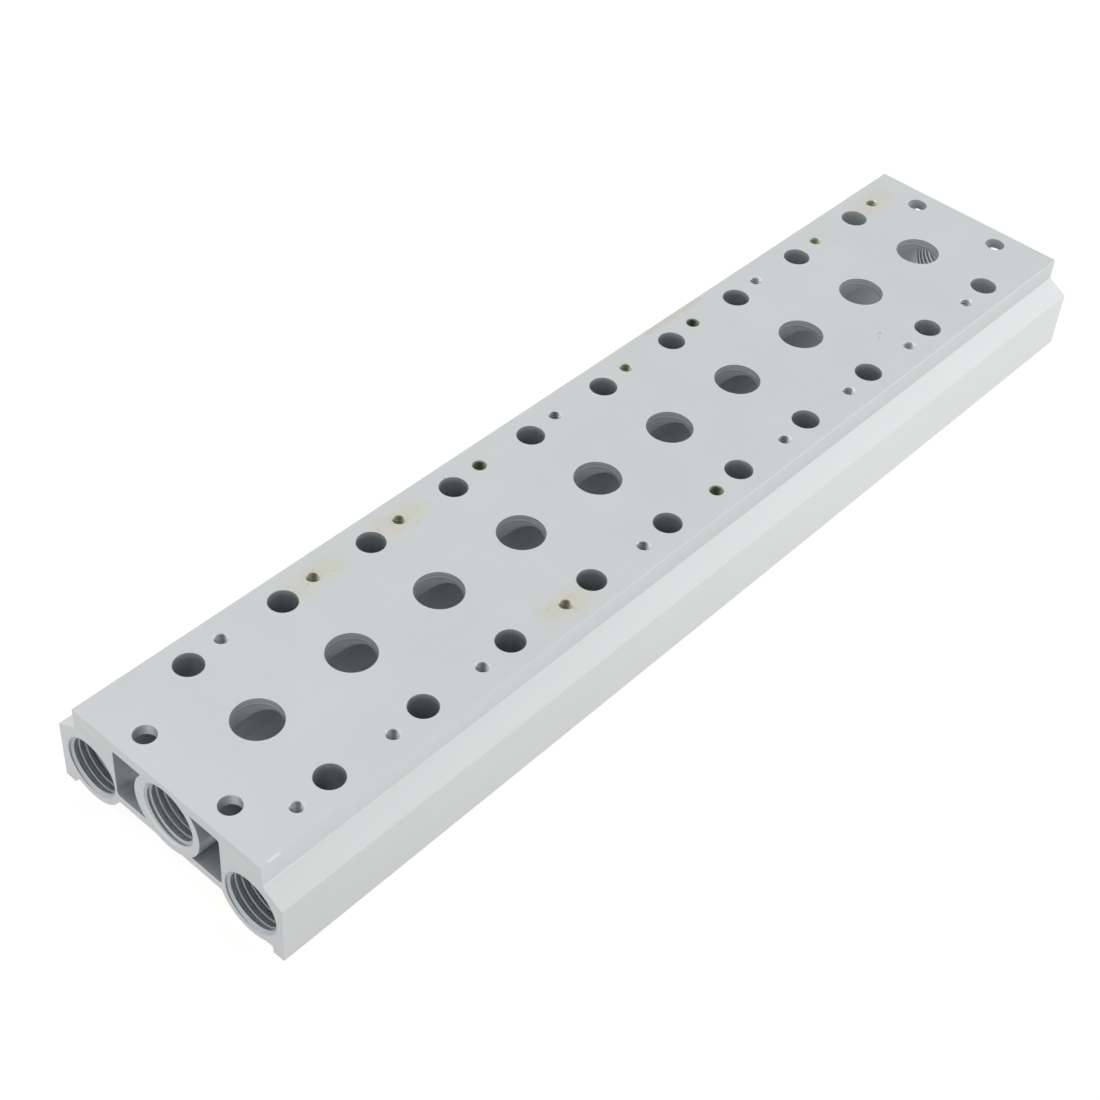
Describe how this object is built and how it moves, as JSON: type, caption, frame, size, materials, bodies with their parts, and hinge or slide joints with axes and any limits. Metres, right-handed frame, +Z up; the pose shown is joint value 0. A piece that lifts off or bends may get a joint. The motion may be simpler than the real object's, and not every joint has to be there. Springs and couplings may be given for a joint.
{
  "type": "valve manifold block",
  "caption": "Extruded aluminium valve manifold: flat top with valve stations over a supply and two exhaust galleries, threaded end ports, two hollow cells and narrow feet.",
  "frame": {"origin": "centre of the bar's footprint, on the plane of its feet", "axes": "+X along the bar and its galleries, +Y across it, +Z up towards the valve seats"},
  "size_m": [0.25, 0.059, 0.0217],
  "materials": {
    "aluminium_block": "matt natural anodised extrusion with machined holes"
  },
  "bodies": {
    "root": {"manifold_block": "aluminium_block"}
  },
  "joints": []
}
